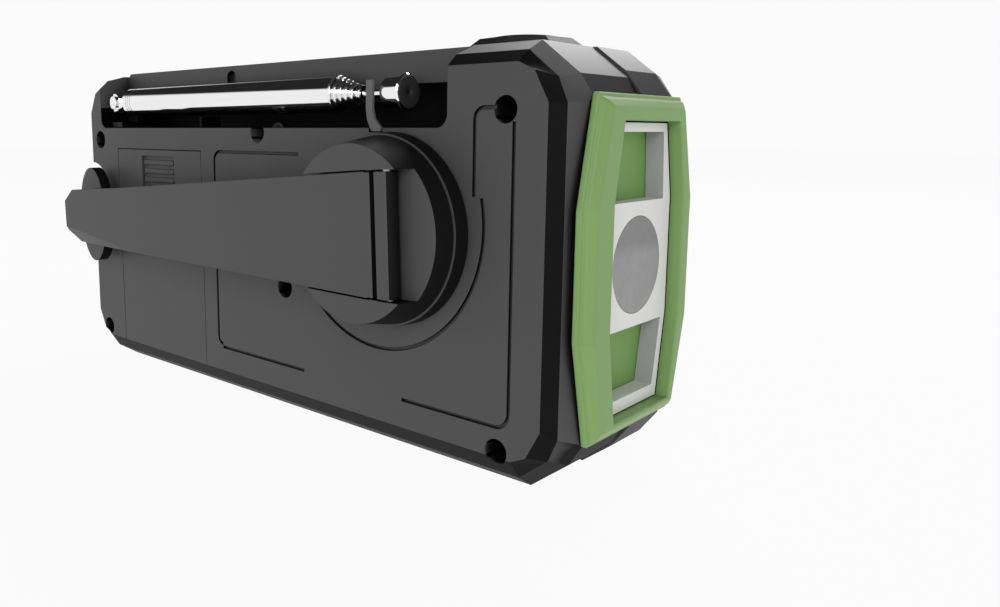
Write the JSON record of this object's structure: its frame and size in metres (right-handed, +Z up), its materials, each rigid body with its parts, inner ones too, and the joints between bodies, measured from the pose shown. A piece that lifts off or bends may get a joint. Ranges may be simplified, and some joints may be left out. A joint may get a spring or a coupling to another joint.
{
  "type": "hand-crank emergency radio",
  "caption": "Portable emergency radio with folding hand crank, folding telescopic antenna, battery door, torch in a green end bezel, speaker, tuning dial and solar panel.",
  "frame": {"origin": "centre of the underside the radio stands on, below the middle plane of the case", "axes": "+Z up, -Y towards the speaker and dial, +Y towards the crank and antenna, -X towards the torch end"},
  "size_m": [0.1626, 0.0644, 0.083],
  "materials": {
    "case": "fine satin texture",
    "case_front": "fine satin texture",
    "screw": "blackened steel",
    "door": "fine satin texture",
    "cell": "printed sleeve",
    "contact": "nickel plated",
    "mast": "polished",
    "bracket": "blackened",
    "clip": "satin",
    "crank": "fine satin texture",
    "steel": "turned",
    "gear": "moulded",
    "coil": "enamelled copper wire",
    "bezel": "satin green",
    "panel": "smooth white",
    "backing": "satin green",
    "lens": "frosted grey diffuser",
    "reflector": "plated",
    "led": "white board with chip",
    "grille": "black",
    "basket": "pressed steel",
    "cone": "paper",
    "magnet": "ferrite",
    "window": "clear",
    "scale": "printed",
    "pointer": "red",
    "knob": "satin",
    "control": "pressed",
    "board": "solder mask",
    "solar_rim": "black",
    "solar": "dark blue cells under resin",
    "lamp": "satin",
    "port": "matt"
  },
  "bodies": {
    "case": {"rear_cover": "case", "front_cover": "case_front", "cover_screws": "screw", "battery_cells": "cell", "battery_contacts": "contact", "antenna_bracket": "bracket", "antenna_rivet": "mast", "antenna_clip": "clip", "crank_base": "crank", "idler_axle": "steel", "gear_plate": "steel", "generator_housing": "steel", "generator_coils": "coil", "light_bezel": "bezel", "light_panel": "panel", "light_backing": "backing", "light_lens": "lens", "light_reflector": "reflector", "light_led": "led", "speaker_grille": "grille", "speaker_basket": "basket", "speaker_cone": "cone", "speaker_magnet": "magnet", "dial_window": "window", "dial_scale": "scale", "tuning_control": "control", "volume_control": "control", "band_switch": "control", "main_board": "board", "solar_frame": "solar_rim", "solar_cell": "solar", "lamp_frame": "lamp", "lamp_switch": "control", "usb_board": "board", "usb_port": "control"},
    "door": {"battery_door": "door"},
    "hub": {"crank_hub": "crank", "crank_shaft": "steel", "drive_gear": "gear", "arm_hinge_pin": "steel"},
    "arm": {"crank_arm": "crank", "knob_pin": "steel"},
    "knob": {"crank_knob": "crank"},
    "idler": {"idler_gear": "gear"},
    "rotor": {"rotor_pinion": "gear", "generator_rotor": "steel"},
    "mast": {"antenna_mast": "mast"},
    "section_2": {"antenna_section_2": "mast"},
    "section_3": {"antenna_section_3": "mast"},
    "section_4": {"antenna_section_4": "mast"},
    "section_5": {"antenna_section_5": "mast"},
    "section_6": {"antenna_section_6": "mast"},
    "tip": {"antenna_rod": "mast", "antenna_tip": "mast"},
    "tuning": {"tuning_knob": "knob"},
    "pointer": {"dial_pointer": "pointer"},
    "volume": {"volume_knob": "knob"},
    "band": {"band_slider": "knob"},
    "lamp_key": {"lamp_button": "lamp"},
    "port_lid": {"port_cover": "port"}
  },
  "joints": [
    {"name": "crank_turn", "type": "hinge", "parent": "case", "child": "hub", "pos_m": [-0.0405, 0, 0.0459], "axis": [0, 1, 0], "continuous": true},
    {"name": "crank_fold", "type": "hinge", "parent": "hub", "child": "arm", "pos_m": [-0.04859, 0.0315, 0.04621], "axis": [0.0384, 0, 0.9993], "range_deg": [0, 180]},
    {"name": "knob_spin", "type": "hinge", "parent": "arm", "child": "knob", "pos_m": [0.06612, 0.022, 0.0418], "axis": [0, 1, 0], "continuous": true},
    {"name": "idler_turn", "type": "hinge", "parent": "case", "child": "idler", "pos_m": [-0.04679, 0, 0.02861], "axis": [0, 1, 0], "continuous": true},
    {"name": "rotor_turn", "type": "hinge", "parent": "case", "child": "rotor", "pos_m": [-0.0295, 0, 0.02232], "axis": [0, 1, 0], "continuous": true},
    {"name": "antenna_raise", "type": "hinge", "parent": "case", "child": "mast", "pos_m": [0.0654, 0.0177, 0.07205], "axis": [0, 1, 0], "range_deg": [0, 90]},
    {"name": "extend_section_2", "type": "slide", "parent": "mast", "child": "section_2", "axis": [-1, 0, 0], "range_m": [0, 0.0545]},
    {"name": "extend_section_3", "type": "slide", "parent": "section_2", "child": "section_3", "axis": [-1, 0, 0], "range_m": [0, 0.0545]},
    {"name": "extend_section_4", "type": "slide", "parent": "section_3", "child": "section_4", "axis": [-1, 0, 0], "range_m": [0, 0.0545]},
    {"name": "extend_section_5", "type": "slide", "parent": "section_4", "child": "section_5", "axis": [-1, 0, 0], "range_m": [0, 0.0545]},
    {"name": "extend_section_6", "type": "slide", "parent": "section_5", "child": "section_6", "axis": [-1, 0, 0], "range_m": [0, 0.0545]},
    {"name": "extend_tip", "type": "slide", "parent": "section_6", "child": "tip", "axis": [-1, 0, 0], "range_m": [0, 0.0545]},
    {"name": "door_slide", "type": "slide", "parent": "case", "child": "door", "axis": [0, 0, -1], "range_m": [0, 0.062]},
    {"name": "tuning_turn", "type": "hinge", "parent": "case", "child": "tuning", "pos_m": [-0.044, 0, 0.032], "axis": [0, 1, 0], "range_deg": [-135, 135]},
    {"name": "pointer_move", "type": "slide", "parent": "case", "child": "pointer", "axis": [1, 0, 0], "range_m": [-0.0205, 0.0205]},
    {"name": "volume_turn", "type": "hinge", "parent": "case", "child": "volume", "pos_m": [0.0022, 0, 0.03], "axis": [0, 1, 0], "range_deg": [-135, 135]},
    {"name": "band_select", "type": "slide", "parent": "case", "child": "band", "axis": [1, 0, 0], "range_m": [-0.003, 0.003]},
    {"name": "lamp_press", "type": "slide", "parent": "case", "child": "lamp_key", "axis": [0, 0, -1], "range_m": [0, 0.001], "stiffness_N_per_m": 400},
    {"name": "port_open", "type": "hinge", "parent": "case", "child": "port_lid", "pos_m": [0.0786, -0.009, 0.0268], "axis": [0, 1, 0], "range_deg": [0, 90]}
  ],
  "couplings": [
    {"joint": "idler_turn", "follows": "crank_turn", "ratio": -3.6},
    {"joint": "rotor_turn", "follows": "crank_turn", "ratio": 12.96},
    {"joint": "extend_section_2", "follows": "antenna_raise", "m_per_rad": 0.034377},
    {"joint": "extend_section_3", "follows": "antenna_raise", "m_per_rad": 0.034377},
    {"joint": "extend_section_4", "follows": "antenna_raise", "m_per_rad": 0.034377},
    {"joint": "extend_section_5", "follows": "antenna_raise", "m_per_rad": 0.034377},
    {"joint": "extend_section_6", "follows": "antenna_raise", "m_per_rad": 0.034377},
    {"joint": "extend_tip", "follows": "antenna_raise", "m_per_rad": 0.034377},
    {"joint": "pointer_move", "follows": "tuning_turn", "m_per_rad": 0.00869}
  ]
}
